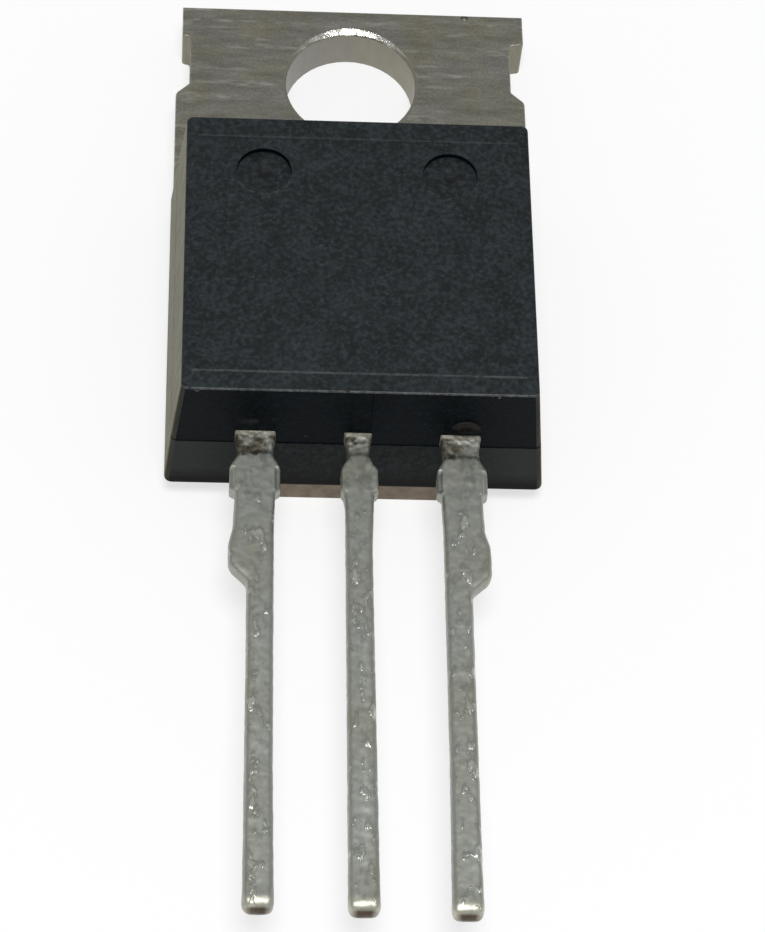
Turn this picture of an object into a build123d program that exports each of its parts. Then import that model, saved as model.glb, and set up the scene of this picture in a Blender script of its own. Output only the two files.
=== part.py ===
"""Power transistor in a through-hole, screw-mounted plastic package.

The part lies on its back: +Z is up through the marked face, +Y runs towards the mounting tab and the
leads point towards -Y.  The origin is the mounting hole's centre on the back face.  Millimetres.
"""
from build123d import *
import os
from math import atan2, degrees, hypot

os.makedirs("parts", exist_ok=True)

# ---------------------------------------------------------------- driving dimensions
# mounting tab and header plate
header_thickness = 1.30
tab_width = 10.00
tab_end_y = 2.67              # hole centre to the end of the tab
tab_shoulder_y = -3.85        # where the full-width tab stops, just inside the moulding
cropped_edge_x = -4.85        # the left edge above its notch, cropped a little further in
upper_right_x = 5.035         # the right edge above its notch, cropped a little further out
hole_radius = 1.85
punch_roll = 0.10             # edge rolled over by the punch, on the marked side
notch_floor_x = 4.62          # from the part's centre line to the floor of an edge notch
notch_near_y = -0.12          # near end of that floor, and the slope of the flank that follows
notch_near_slope = 0.95
notch_far_y = 1.55            # far end of the floor; its flank is nearly square to the edge
notch_far_slope = 0.18
notch_corner = 0.11
notch_shoulder = 0.22         # larger round where the near flank meets the edge

# chip carrier: the part of the header inside the moulding
carrier_width = 7.60
carrier_end_width = 5.80
carrier_waist_y = -11.20
carrier_end_y = -13.10
rebate_y = -12.70             # the end's rebate, which the resin fills
rebate_z = 0.68
locking_lip = 0.30            # the lip the moulding grips under, on both sides
locking_lip_z = 0.95
groove_y = -4.30
groove_width = 0.50
groove_depth = 0.20

# leads
frame_shift = 0.02            # the lead frame sits this far off the hole's centre line
strip_thickness = 0.46
strip_bottom = 2.17           # also the height of the mould's parting line
tin = 0.03                    # thickness of the tin dip
tin_round = 0.09              # the dip rounds the edges of the strip
tip_round = 0.16
nose_round = 0.26             # the dip draws the marked side of a tip into a blunt nose
lead_tips_y = (-26.26, -26.31, -26.37)
neck_top_y = -13.10
dip_top_y = -13.38
dam_top_y = -13.82            # the cropped dam bar
dam_bottom_y = -14.46
dam_step_y = -14.54           # below the stubs the lead is back at its own width
flare_top_y = -15.60          # the outer leads' wide part widens once more here
flare_full_y = -16.08
wide_end_y = -16.72           # end of the outer leads' wide part
narrow_top_y = -17.22
wide_end_drops = (-0.08, 0.14)   # how much lower the outer leads' wide parts end
wide_edges_x = (3.37, 3.40)      # their outer edges below the flare
dam_coin = 0.07               # the dam bar's cut stubs are thinner by this much
dam_inner_x = 2.06            # cut ends of the dam bar on an outer lead
dam_outer_x = 3.36
dam_cut_width = 0.24          # width of the thinner band, half of it off the lead

# staked joint between the header and the collector lead
foot_half_length = 0.60
foot_half_reach = 1.45
joggle_top_y = -12.25
joggle_bottom_y = -11.60
joggle_radius = 0.30
pip_x = 0.85
pip_y = -10.85
pip_radius = 0.35
pip_head_radius = 0.50
pip_head_height = 0.14

# moulding
foot_z = 0.60                 # underside of the moulding
top_z = 4.34
foot_half_width = 5.07
parting_half_width = 4.89
top_half_width = 4.65
upper_half_shift = 0.015      # the upper mould half sits this far to the right of the lower one
foot_near_y = -13.13
parting_near_y = -12.74
top_near_y = -12.50
foot_far_y = -3.37
parting_far_y = -3.54
top_far_y = -3.72
parting_step = 0.02           # lower mould half is this much larger all round
upright_round = 0.18
rim_round = 0.05
foot_round = 0.12

# ejector-pin marks, gate scar and resin blister on the moulding
ejector_marks = ((-2.55, -5.45), (2.48, -5.46))
ejector_radius = 0.745
ejector_depth = 0.17
dimple_radius = 0.16
dimple_depth = 0.10
gate_width = 0.60
gate_height = 1.56
gate_depth = 0.08
blister_x = 2.84
blister_z = 2.78
blister_reach = 0.45          # half its width on the wall
blister_rise = 0.13           # how far it stands out of the wall

# chip, solder, bond wires
die_side = 2.20
die_thickness = 0.25
die_y = -7.40
solder_side = 2.50
solder_thickness = 0.05
bond_foot_height = 0.10
wedge_length = 0.66
loop_top_z = 3.45             # middle of the bond wires' loops

# ---------------------------------------------------------------- derived
strip_top = strip_bottom + strip_thickness
strip_middle = strip_bottom + strip_thickness / 2
header_top = header_thickness
die_bottom = header_top + solder_thickness
die_top = die_bottom + die_thickness
foot_thickness_middle = header_top + strip_thickness / 2
end_wall_lean = degrees(atan2(top_near_y - parting_near_y, top_z - strip_bottom))
gate_bottom = strip_thickness + 0.04


def notch_points(side):
    """Outline of the notch in one edge of the tab, drawn a little past that edge."""
    reach = tab_width / 2 - notch_floor_x + 0.5
    return [
        (side * notch_floor_x, notch_near_y),
        (side * (notch_floor_x + reach), notch_near_y - reach * notch_near_slope),
        (side * (notch_floor_x + reach), notch_far_y + reach * notch_far_slope),
        (side * notch_floor_x, notch_far_y),
    ]


# ---------------------------------------------------------------- collector header
with BuildPart() as collector_header:
    with BuildSketch() as tab_outline:
        with BuildLine():
            Polyline(
                (-tab_width / 2, tab_shoulder_y),
                (tab_width / 2, tab_shoulder_y),
                (tab_width / 2, 0),
                (upper_right_x, 0),
                (upper_right_x, tab_end_y),
                (cropped_edge_x, tab_end_y),
                (cropped_edge_x, 0),
                (-tab_width / 2, 0),
                close=True,
            )
        make_face()
        for side in (-1, 1):
            with BuildLine():
                Polyline(*notch_points(side), close=True)
            make_face(mode=Mode.SUBTRACT)
        shoulders = tab_outline.vertices().filter_by(
            lambda v: notch_near_y - 1.0 < v.Y < notch_near_y - 0.1
        )
        fillet(shoulders, notch_shoulder)
        notch_corners = tab_outline.vertices().filter_by(
            lambda v: notch_near_y - 0.02 < v.Y < notch_far_y + 0.5
        )
        fillet(notch_corners, notch_corner)
    extrude(amount=header_thickness)

    # the rolled-over edges of the stamping
    marked_face = collector_header.faces().sort_by(Axis.Z)[-1]
    rolled = marked_face.edges().filter_by(lambda e: e.center().Y > tab_shoulder_y + 0.1)
    fillet(rolled, punch_roll * 0.7)

    # chip carrier: full thickness inside, with a lip that the moulding closes under
    with BuildSketch():
        with BuildLine():
            Polyline(
                (-carrier_width / 2 + locking_lip, tab_shoulder_y),
                (-carrier_width / 2 + locking_lip, carrier_waist_y),
                (-carrier_end_width / 2, carrier_waist_y - 0.6),
                (-carrier_end_width / 2, carrier_end_y),
                (carrier_end_width / 2, carrier_end_y),
                (carrier_end_width / 2, carrier_waist_y - 0.6),
                (carrier_width / 2 - locking_lip, carrier_waist_y),
                (carrier_width / 2 - locking_lip, tab_shoulder_y),
                close=True,
            )
        make_face()
    extrude(amount=header_thickness)
    with BuildSketch(Plane.XY.offset(locking_lip_z)):
        with Locations((0, (tab_shoulder_y + carrier_waist_y) / 2)):
            Rectangle(carrier_width, tab_shoulder_y - carrier_waist_y)
    extrude(amount=header_thickness - locking_lip_z)
    with BuildSketch(Plane.XY.offset(rebate_z)):
        with Locations((0, rebate_y - 1.0)):
            Rectangle(carrier_width, 2.0)
    extrude(amount=header_thickness, mode=Mode.SUBTRACT)

    # moisture groove across the carrier, under the moulding's far wall
    with BuildSketch(Plane.YZ.offset(-tab_width / 2)):
        with BuildLine():
            Polyline(
                (groove_y - groove_width / 2, header_top),
                (groove_y, header_top - groove_depth),
                (groove_y + groove_width / 2, header_top),
                close=True,
            )
        make_face()
    extrude(amount=tab_width, mode=Mode.SUBTRACT)

    # mounting hole with its rolled upper rim
    with Locations((0, 0, header_thickness / 2)):
        Cylinder(hole_radius, header_thickness, mode=Mode.SUBTRACT)
    rim = collector_header.edges().filter_by(GeomType.CIRCLE).filter_by(
        lambda e: abs(e.radius - hole_radius) < 0.01 and e.center().Z > header_top - 0.01
    )
    fillet(rim, punch_roll)

    # two pips, raised through the collector lead's foot and staked over it
    with BuildSketch(Plane.XY.offset(header_top)):
        with Locations((-pip_x, pip_y), (pip_x, pip_y)):
            Circle(pip_radius)
    extrude(amount=strip_thickness)
    with BuildSketch(Plane.XY.offset(header_top + strip_thickness)):
        with Locations((-pip_x, pip_y), (pip_x, pip_y)):
            Circle(pip_head_radius)
    extrude(amount=pip_head_height, taper=20)
collector_header.part.label = "collector_header"
export_step(collector_header.part, "parts/collector_header.step")


# ---------------------------------------------------------------- leads
def shifted(points, side):
    """Plan points of a lead drawn on the right, put on its own side of the lead frame."""
    return [(frame_shift + side * x, y) for x, y in points]


def outer_dip_points(tip_y, wide_drop, wide_x):
    """Tin-dipped part of an outer lead: dam-bar stub, wide part with its flare, narrow pin."""
    return [
        (2.26, dip_top_y),
        (2.21, dip_top_y - 0.14),
        (2.11, dip_top_y - 0.32),
        (dam_inner_x, dam_top_y),
        (dam_inner_x, dam_bottom_y),
        (2.18, dam_step_y),
        (2.21, flare_top_y),
        (2.21, narrow_top_y - 5.0),
        (2.17, tip_y),
        (2.92, tip_y),
        (2.89, narrow_top_y - 2.0),
        (2.89, narrow_top_y - wide_drop - 0.10),
        (2.94, narrow_top_y - wide_drop),
        (wide_x - 0.08, wide_end_y - wide_drop - 0.15),
        (wide_x, wide_end_y - wide_drop),
        (wide_x, flare_full_y),
        (3.26, flare_top_y),
        (3.21, dam_step_y),
        (dam_outer_x, dam_bottom_y),
        (dam_outer_x, dam_top_y),
        (3.31, dip_top_y - 0.32),
        (3.20, dip_top_y - 0.14),
        (3.15, dip_top_y),
    ]


def centre_dip_points(tip_y):
    """Tin-dipped part of the middle lead: dam-bar stub tapering into the narrow pin."""
    return [
        (0.27, dip_top_y),
        (0.33, dip_top_y - 0.14),
        (0.44, dip_top_y - 0.32),
        (0.50, dam_top_y),
        (0.50, dam_bottom_y),
        (0.39, dam_step_y),
        (0.34, flare_full_y),
        (0.35, narrow_top_y - 1.0),
        (0.41, tip_y),
        (-0.35, tip_y),
        (-0.34, dam_step_y - 0.30),
        (-0.38, dam_step_y),
        (-0.45, dam_bottom_y),
        (-0.45, dam_top_y),
        (-0.40, dip_top_y - 0.32),
        (-0.30, dip_top_y - 0.14),
        (-0.25, dip_top_y),
    ]


def dipped_pin(outline_points, tip_y):
    """The dipped part of a lead, with a blunt nose and edges drawn round by the molten tin."""
    with BuildPart() as pin:
        with BuildSketch(Plane.XY.offset(strip_bottom - tin)) as dip_outline:
            with BuildLine():
                Polyline(*outline_points, close=True)
            make_face()
            fillet(dip_outline.vertices().group_by(Axis.Y)[0], tip_round)
        extrude(amount=strip_thickness + 2 * tin)
        level_edges = pin.edges().filter_by(
            lambda e: e.center().Y < dam_bottom_y - 0.02
            and abs(abs(e.center().Z - strip_middle) - strip_thickness / 2 - tin) < 0.005
        )
        fillet(level_edges, tin_round)
        with BuildSketch(Plane.YZ) as side_profile:
            with Locations(((tip_y + dip_top_y) / 2, strip_middle)):
                Rectangle(dip_top_y - tip_y, strip_thickness + 2 * tin)
            # on this plane the sketch's own X runs along the lead and its Y upwards
            fillet(side_profile.vertices().group_by(Axis.X)[0].sort_by(Axis.Y)[-1], nose_round)
        extrude(amount=tab_width / 2, both=True, mode=Mode.INTERSECT)
    return pin.part


# bond pad, neck and root of an outer lead, as bare strip
pad_inner_x, pad_outer_x = 1.50, 4.05
pad_end_y, pad_shoulder_y = -10.55, -11.80
pad_corner = 0.15
outer_root_points = [
    (2.25, dip_top_y - 0.05),
    (2.25, neck_top_y),
    (2.18, parting_near_y),
    (2.18, pad_shoulder_y - 0.40),
    (pad_inner_x, pad_shoulder_y),
    (pad_inner_x, pad_end_y),
    (pad_outer_x, pad_end_y),
    (pad_outer_x, pad_shoulder_y),
    (3.22, pad_shoulder_y - 0.40),
    (3.22, parting_near_y),
    (3.16, neck_top_y),
    (3.16, dip_top_y - 0.05),
]
dam_length = dam_top_y - dam_bottom_y
dam_middle_y = (dam_top_y + dam_bottom_y) / 2


outer_leads = {}
for name, side, tip_y, wide_drop, wide_x in (
    ("base_lead", -1, lead_tips_y[0], wide_end_drops[0], wide_edges_x[0]),
    ("emitter_lead", 1, lead_tips_y[2], wide_end_drops[1], wide_edges_x[1]),
):
    outer_pin = dipped_pin(shifted(outer_dip_points(tip_y, wide_drop, wide_x), side), tip_y)
    with BuildPart() as outer_lead:
        with BuildSketch(Plane.XY.offset(strip_bottom)) as root_outline:
            with BuildLine():
                Polyline(*shifted(outer_root_points, side), close=True)
            make_face()
            fillet(root_outline.vertices().group_by(Axis.Y)[-1], pad_corner)
        extrude(amount=strip_thickness)
        add(outer_pin)
        with BuildSketch(Plane.XY.offset(strip_top + tin - dam_coin)):
            with Locations(*shifted([(dam_inner_x, dam_middle_y), (dam_outer_x, dam_middle_y)], side)):
                Rectangle(dam_cut_width, dam_length + 0.02)
        extrude(amount=dam_coin, mode=Mode.SUBTRACT)
    outer_lead.part.label = name
    outer_leads[name] = outer_lead.part
    export_step(outer_lead.part, f"parts/{name}.step")

middle_pin = dipped_pin(shifted(centre_dip_points(lead_tips_y[1]), 1), lead_tips_y[1])
with BuildPart() as collector_lead:
    # side view: foot on the header, joggle up to the lead plane, straight out of the body
    with BuildSketch(Plane.YZ.offset(-foot_half_reach)) as side_view:
        with BuildLine() as strip_line:
            FilletPolyline(
                (pip_y + foot_half_length, foot_thickness_middle),
                (joggle_bottom_y, foot_thickness_middle),
                (joggle_top_y, strip_middle),
                (dip_top_y - 0.05, strip_middle),
                radius=joggle_radius,
            )
        trace(line_width=strip_thickness)
    extrude(amount=2 * foot_half_reach)
    # plan view: wide foot, narrow neck
    with BuildSketch(Plane.XY) as plan_view:
        with BuildLine():
            Polyline(
                (-foot_half_reach, pip_y + foot_half_length + 0.1),
                (foot_half_reach, pip_y + foot_half_length + 0.1),
                (foot_half_reach, joggle_bottom_y + 0.15),
                (0.70, joggle_bottom_y - 0.10),
                (frame_shift + 0.34, parting_near_y),
                (frame_shift + 0.27, neck_top_y),
                (frame_shift + 0.27, dip_top_y - 0.05),
                (frame_shift - 0.27, dip_top_y - 0.05),
                (frame_shift - 0.27, neck_top_y),
                (frame_shift - 0.34, parting_near_y),
                (-0.70, joggle_bottom_y - 0.10),
                (-foot_half_reach, joggle_bottom_y + 0.15),
                close=True,
            )
        make_face()
        with Locations((-pip_x, pip_y), (pip_x, pip_y)):
            Circle(pip_radius, mode=Mode.SUBTRACT)
    extrude(amount=top_z, mode=Mode.INTERSECT)
    add(middle_pin)
collector_lead.part.label = "collector_lead"
export_step(collector_lead.part, "parts/collector_lead.step")


# ---------------------------------------------------------------- chip and its solder
with BuildPart() as die_solder:
    with BuildSketch(Plane.XY.offset(header_top)):
        with Locations((0, die_y)):
            Rectangle(solder_side, solder_side)
    extrude(amount=solder_thickness)
die_solder.part.label = "die_solder"
export_step(die_solder.part, "parts/die_solder.step")

with BuildPart() as silicon_die:
    with BuildSketch(Plane.XY.offset(die_bottom)):
        with Locations((0, die_y)):
            Rectangle(die_side, die_side)
    extrude(amount=die_thickness)
silicon_die.part.label = "silicon_die"
export_step(silicon_die.part, "parts/silicon_die.step")


# ---------------------------------------------------------------- bond wires
bond_wires = {}
for name, side, radius, start_x, start_y in (
    ("base_wire", -1, 0.10, -0.55, -7.10),
    ("emitter_wire", 1, 0.15, 0.45, -7.75),
):
    end_x, end_y = frame_shift + side * 2.55, -10.95
    span = hypot(end_x - start_x, end_y - start_y)
    along = Vector((end_x - start_x) / span, (end_y - start_y) / span, 0)
    upright = Plane(origin=(start_x, start_y, 0), x_dir=along, z_dir=along.cross(Vector(0, 0, 1)))
    die_bond_z = die_top + bond_foot_height + radius / 2
    pad_bond_z = strip_top + bond_foot_height + radius / 2
    with BuildPart() as bond_wire:
        with BuildLine(upright) as loop:
            Polyline(
                (0, die_bond_z),
                (span * 0.25, loop_top_z - 0.15),
                (span * 0.55, loop_top_z),
                (span * 0.85, loop_top_z - 0.25),
                (span, pad_bond_z),
            )
        with BuildSketch(Plane(origin=loop.line @ 0, z_dir=loop.line % 0)):
            Circle(radius)
        sweep(transition=Transition.RIGHT)
        # wedge bonds: the wire's ends squashed flat on the chip and on the lead
        for place, floor_z in (((start_x, start_y), die_top), ((end_x, end_y), strip_top)):
            bond_plane = Plane(origin=(place[0], place[1], floor_z), x_dir=along, z_dir=(0, 0, 1))
            with BuildSketch(bond_plane):
                SlotOverall(wedge_length, radius * 2.2)
            extrude(amount=bond_foot_height + radius)
    bond_wire.part.label = name
    bond_wires[name] = bond_wire.part
    export_step(bond_wire.part, f"parts/{name}.step")


# ---------------------------------------------------------------- moulding
lower_half_levels = (
    (foot_z, 0, foot_half_width, foot_near_y, foot_far_y),
    (
        strip_bottom,
        0,
        parting_half_width + parting_step,
        parting_near_y - parting_step,
        parting_far_y + parting_step,
    ),
)
upper_half_levels = (
    (strip_bottom, upper_half_shift, parting_half_width, parting_near_y, parting_far_y),
    (top_z, upper_half_shift, top_half_width, top_near_y, top_far_y),
)
with BuildPart() as moulded_body:
    for levels in (lower_half_levels, upper_half_levels):
        for z, middle_x, half_width, near_y, far_y in levels:
            with BuildSketch(Plane.XY.offset(z)):
                with Locations((middle_x, (near_y + far_y) / 2)):
                    Rectangle(2 * half_width, far_y - near_y)
        loft(ruled=True)
    uprights = moulded_body.edges().filter_by(
        lambda e: abs(e.tangent_at(0.5).Z) > 0.9
    )
    fillet(uprights, upright_round)
    fillet(moulded_body.faces().sort_by(Axis.Z)[-1].edges(), rim_round)
    fillet(moulded_body.faces().sort_by(Axis.Z)[0].edges(), foot_round)

    # the moulding stops on the tab: below the tab's top it starts at the tab's shoulder
    with BuildSketch():
        with Locations((0, tab_shoulder_y + 1.0)):
            Rectangle(2 * foot_half_width + 1.0, 2.0)
    extrude(amount=header_top, mode=Mode.SUBTRACT)

    # ejector-pin marks with a small centre dimple
    for mark_x, mark_y in ejector_marks:
        with Locations((mark_x, mark_y, top_z)):
            Cylinder(ejector_radius, 2 * ejector_depth, mode=Mode.SUBTRACT)
        with Locations((mark_x, mark_y, top_z - ejector_depth - dimple_depth / 2)):
            Cone(0.3 * dimple_radius, dimple_radius, dimple_depth, mode=Mode.SUBTRACT)

    # gate scar above the middle lead
    end_wall = Plane(origin=(0, parting_near_y, strip_bottom), x_dir=(1, 0, 0), z_dir=(0, -1, 0))
    end_wall = end_wall.rotated((-end_wall_lean, 0, 0))
    with BuildSketch(end_wall):
        with Locations((frame_shift + 0.03, gate_bottom + gate_height / 2)):
            Rectangle(gate_width, gate_height)
    extrude(amount=gate_depth, both=True, mode=Mode.SUBTRACT)

    # resin blister above the emitter lead: the cap of a ball that lies mostly inside the wall
    blister_radius = (blister_reach**2 + blister_rise**2) / 2 / blister_rise
    with Locations((blister_x, parting_near_y + blister_radius - blister_rise, blister_z)):
        Sphere(blister_radius)

    # everything that the moulding encloses
    add(collector_header.part, mode=Mode.SUBTRACT)
    add(collector_lead.part, mode=Mode.SUBTRACT)
    for lead in outer_leads.values():
        add(lead, mode=Mode.SUBTRACT)
    add(die_solder.part, mode=Mode.SUBTRACT)
    add(silicon_die.part, mode=Mode.SUBTRACT)
    for wire in bond_wires.values():
        add(wire, mode=Mode.SUBTRACT)
moulded_body.part.label = "moulded_body"
export_step(moulded_body.part, "parts/moulded_body.step")
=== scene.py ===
# %% [markdown]
# # A power transistor, from a measured model to a picture
# The part is a silicon power transistor in a plastic package with a screw tab.  Its solids were drawn
# in CAD, and this notebook dresses them.  It shows how a plain solid becomes a stamped, moulded and
# tin-dipped thing: edges get their small rounds, solder gets its lumps, resin gets its scars, and each
# surface gets a material.  The first cell loads the CAD model, which stays where it is as the frame
# that every new piece is fitted to.

# %% Load the measured model
from math import cos, pi, radians, sin

import bmesh
import bpy
from mathutils import Matrix, Vector


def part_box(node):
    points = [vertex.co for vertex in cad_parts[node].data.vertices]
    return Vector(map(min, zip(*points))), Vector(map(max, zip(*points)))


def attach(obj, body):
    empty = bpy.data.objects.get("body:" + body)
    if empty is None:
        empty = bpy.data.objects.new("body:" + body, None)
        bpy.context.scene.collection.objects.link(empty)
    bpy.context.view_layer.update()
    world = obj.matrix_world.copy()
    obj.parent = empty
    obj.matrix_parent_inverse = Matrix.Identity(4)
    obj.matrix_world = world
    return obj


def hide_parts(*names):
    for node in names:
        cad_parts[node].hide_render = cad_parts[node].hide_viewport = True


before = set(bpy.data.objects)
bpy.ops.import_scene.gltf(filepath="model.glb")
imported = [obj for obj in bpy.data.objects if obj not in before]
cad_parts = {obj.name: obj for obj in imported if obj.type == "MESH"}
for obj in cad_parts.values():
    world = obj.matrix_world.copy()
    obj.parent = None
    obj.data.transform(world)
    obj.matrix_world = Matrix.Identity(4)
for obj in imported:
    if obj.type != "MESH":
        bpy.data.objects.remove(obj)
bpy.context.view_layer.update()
print("nodes:", ", ".join(sorted(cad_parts)))

# %% [markdown]
# Blender's unit here is the metre, and this part is 29 mm long.  Many tools have thresholds that suit
# things the size of furniture, so each new piece is modelled a thousand times larger, with one unit
# for a millimetre, and is brought back to metres when it is finished.

# %% Helpers for working in millimetres
MM = 0.001


def only(piece):
    """Select one piece alone, in object mode."""
    if bpy.context.mode != "OBJECT":
        bpy.ops.object.mode_set(mode="OBJECT")
    bpy.ops.object.select_all(action="DESELECT")
    piece.select_set(True)
    bpy.context.view_layer.objects.active = piece


def box_mm(node):
    """Lowest and highest corner of a CAD node, in millimetres."""
    low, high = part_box(node)
    return low / MM, high / MM


def start_piece(name):
    """Name the primitive that was just added."""
    piece = bpy.context.active_object
    piece.name = name
    piece.data.name = name
    return piece


def copy_in_mm(node, name):
    """A merged copy of a CAD node's mesh, at one unit for a millimetre."""
    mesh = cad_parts[node].data.copy()
    mesh.name = name
    mesh.materials.clear()
    piece = bpy.data.objects.new(name, mesh)
    bpy.context.scene.collection.objects.link(piece)
    only(piece)
    bpy.ops.mesh.customdata_custom_splitnormals_clear()
    piece.scale = (1 / MM, 1 / MM, 1 / MM)
    bpy.ops.object.transform_apply(location=False, rotation=False, scale=True)
    bpy.ops.object.mode_set(mode="EDIT")
    bpy.ops.mesh.select_all(action="SELECT")
    bpy.ops.mesh.remove_doubles(threshold=0.0004)
    bpy.ops.object.mode_set(mode="OBJECT")
    return piece


def apply_modifier(piece, modifier):
    """Make a modifier's result the piece's own mesh."""
    only(piece)
    bpy.ops.object.modifier_apply(modifier=modifier.name)


def select_faces(piece, wanted):
    """In edit mode, select only the faces that a test picks."""
    bpy.ops.mesh.select_mode(type="FACE")
    bpy.ops.mesh.select_all(action="DESELECT")
    mesh = bmesh.from_edit_mesh(piece.data)
    for face in mesh.faces:
        if wanted(face):
            face.select_set(True)
    bmesh.update_edit_mesh(piece.data)


def combine(piece, tool, operation="DIFFERENCE"):
    """Cut a tool's shape out of a piece, or weld it on, and put the tool away."""
    modifier = piece.modifiers.new("combine", "BOOLEAN")
    modifier.operation = operation
    modifier.solver = "EXACT"
    modifier.material_mode = "TRANSFER"
    modifier.object = tool
    apply_modifier(piece, modifier)
    bpy.data.objects.remove(tool)


def set_in_frame(piece, node, angle=35):
    """Bring a finished piece back to metres and let it stand for its CAD node.

    Edges sharper than `angle` degrees stay sharp.  A piece that is round all over takes a wide angle
    and does without the weighted normals, which keep large faces flat.
    """
    only(piece)
    piece.scale = (MM, MM, MM)
    bpy.ops.object.transform_apply(location=True, rotation=True, scale=True)
    bpy.ops.object.shade_smooth_by_angle(angle=radians(angle))
    if angle < 45:
        even = piece.modifiers.new("flat_faces_stay_flat", "WEIGHTED_NORMAL")
        even.keep_sharp = True
        apply_modifier(piece, even)
    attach(piece, "root")
    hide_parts(node)
    print(piece.name, "has", len(piece.data.polygons), "faces")


print("helpers ready")

# %% [markdown]
# A material is a small network of nodes.  Most of the networks below start the same way: the point on
# the piece, in millimetres, goes into a noise, and the noise goes through a ramp that picks a colour or
# a roughness.  These few functions keep the recipes short.


# %% Helpers for node networks
class Recipe:
    """A material under construction, with short names for the nodes that it uses."""

    def __init__(self, name):
        self.material = bpy.data.materials.new(name)
        self.material.use_nodes = True
        self.nodes = self.material.node_tree.nodes
        self.links = self.material.node_tree.links
        self.shader = self.nodes["Principled BSDF"]
        coordinates = self.nodes.new("ShaderNodeTexCoord")
        self.place = self.stretch(coordinates.outputs["Object"], (1 / MM, 1 / MM, 1 / MM))

    def set(self, **values):
        """Fixed values on the shader's own sockets."""
        for socket, value in values.items():
            self.shader.inputs[socket.replace("_", " ")].default_value = value

    def put(self, socket, source):
        """Let a node drive one of the shader's sockets."""
        self.links.new(source, self.shader.inputs[socket])

    def stretch(self, vector, scale):
        """Scale a vector, so that a pattern is finer along some axes."""
        node = self.nodes.new("ShaderNodeMapping")
        node.inputs["Scale"].default_value = scale
        self.links.new(vector, node.inputs["Vector"])
        return node.outputs["Vector"]

    def noise(self, scale, detail=3.0, stretch=None, distortion=0.0, roughness=0.5):
        """Noise with about `scale` waves to the millimetre."""
        node = self.nodes.new("ShaderNodeTexNoise")
        node.inputs["Scale"].default_value = scale
        node.inputs["Detail"].default_value = detail
        node.inputs["Distortion"].default_value = distortion
        node.inputs["Roughness"].default_value = roughness
        vector = self.stretch(self.place, stretch) if stretch else self.place
        self.links.new(vector, node.inputs["Vector"])
        return node.outputs["Fac"]

    def ramp(self, source, *stops):
        """Turn a number into a colour: stops are (position, colour or grey)."""
        node = self.nodes.new("ShaderNodeValToRGB")
        elements = node.color_ramp.elements
        while len(elements) < len(stops):
            elements.new(0.5)
        for element, (position, colour) in zip(elements, stops):
            element.position = position
            if isinstance(colour, (int, float)):
                colour = (colour, colour, colour)
            element.color = (*colour, 1)
        self.links.new(source, node.inputs["Fac"])
        return node.outputs["Color"]

    def span(self, source, low, high, to_low=0.0, to_high=1.0):
        """Map the range low..high onto to_low..to_high, held at its ends."""
        node = self.nodes.new("ShaderNodeMapRange")
        node.inputs["From Min"].default_value = low
        node.inputs["From Max"].default_value = high
        node.inputs["To Min"].default_value = to_low
        node.inputs["To Max"].default_value = to_high
        self.links.new(source, node.inputs["Value"])
        return node.outputs["Result"]

    def math(self, operation, first, second=0.0):
        """Arithmetic on one or two numbers, each fixed or the output of a node."""
        node = self.nodes.new("ShaderNodeMath")
        node.operation = operation
        for socket, value in zip(node.inputs, (first, second)):
            if isinstance(value, (int, float)):
                socket.default_value = value
            else:
                self.links.new(value, socket)
        return node.outputs["Value"]

    def times(self, first, second):
        """The product of two numbers."""
        return self.math("MULTIPLY", first, second)

    def distance(self, coordinate, centre):
        """How far a coordinate is from a fixed value, on either side."""
        return self.math("ABSOLUTE", self.math("SUBTRACT", coordinate, centre))

    def mix(self, factor, first, second, blend="MIX"):
        """Blend two colours; each is a fixed colour or the output of a node."""
        node = self.nodes.new("ShaderNodeMix")
        node.data_type = "RGBA"
        node.blend_type = blend
        for socket, value in ((0, factor), (6, first), (7, second)):
            if isinstance(value, (int, float)):
                node.inputs[socket].default_value = value
            elif isinstance(value, tuple):
                node.inputs[socket].default_value = (*value, 1)
            else:
                self.links.new(value, node.inputs[socket])
        return node.outputs[2]

    def axis(self, letter):
        """One coordinate of the point, in millimetres."""
        node = self.nodes.new("ShaderNodeSeparateXYZ")
        self.links.new(self.place, node.inputs["Vector"])
        return node.outputs[letter]

    def bump(self, height, distance, below=None):
        """Tilt the surface as if it had relief of `distance` millimetres."""
        node = self.nodes.new("ShaderNodeBump")
        node.inputs["Distance"].default_value = distance * MM
        self.links.new(height, node.inputs["Height"])
        if below is not None:
            self.links.new(below, node.inputs["Normal"])
        return node.outputs["Normal"]


print("recipe helpers ready")

# %% [markdown]
# The camera looks down at the part from the lead end.  It stands close to a small thing with a long
# lens, so the leads, which are nearer, look a little larger than the tab.  The camera is rolled by
# seven degrees, because the part was not laid square to it.

# %% Camera
camera_elevation = radians(58.080)
camera_azimuth = radians(-6.739)
camera_roll = radians(7.013)
camera_distance = 86.254 * MM
camera_target = Vector((0.762, -12.670, 1.000)) * MM
camera_lens = 151.93
camera_sensor_width = 36
camera_nearest = 5 * MM

back = Vector((
    cos(camera_elevation) * sin(camera_azimuth),
    -cos(camera_elevation) * cos(camera_azimuth),
    sin(camera_elevation),
))
level_right = (-back).cross(Vector((0, 0, 1))).normalized()
level_up = level_right.cross(-back)
right = level_right * cos(camera_roll) + level_up * sin(camera_roll)
up = level_up * cos(camera_roll) - level_right * sin(camera_roll)

bpy.ops.object.camera_add()
camera = bpy.context.active_object
camera.name = "table_camera"
camera.matrix_world = Matrix.Translation(camera_target + back * camera_distance) @ Matrix(
    (right, up, back)
).transposed().to_4x4()
camera.data.sensor_fit = "HORIZONTAL"
camera.data.sensor_width = camera_sensor_width
camera.data.lens = camera_lens
camera.data.clip_start = camera_nearest
bpy.context.scene.camera = camera
print("camera at", [round(value / MM, 1) for value in camera.location], "mm")

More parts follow.
